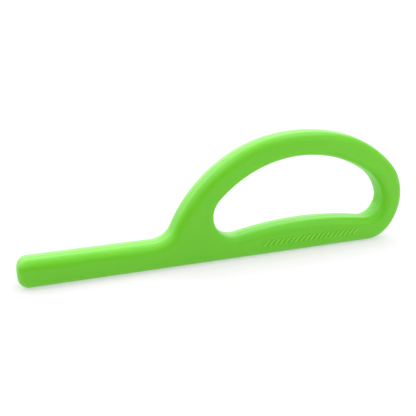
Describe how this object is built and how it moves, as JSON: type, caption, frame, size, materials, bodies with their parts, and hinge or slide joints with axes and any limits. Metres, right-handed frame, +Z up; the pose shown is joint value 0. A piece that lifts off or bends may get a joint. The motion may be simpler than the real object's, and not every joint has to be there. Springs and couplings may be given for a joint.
{
  "type": "loop-handled chew tool",
  "caption": "One-piece soft rubber chew tool: a straight square bite stem that runs into a D-shaped finger loop, to hold while biting the stem.",
  "frame": {"origin": "on the base plane, at the middle of the length and of the thickness", "axes": "+X along the straight spine, from the free end of the stem to the loop; +Y across the thickness, towards the back; +Z up, from the base strip to the crown of the loop"},
  "size_m": [0.2226, 0.017, 0.0689],
  "materials": {
    "green_rubber": "satin, slightly translucent lime green elastomer, straight from a polished mould"
  },
  "bodies": {
    "root": {"chew_body": "green_rubber"}
  },
  "joints": []
}
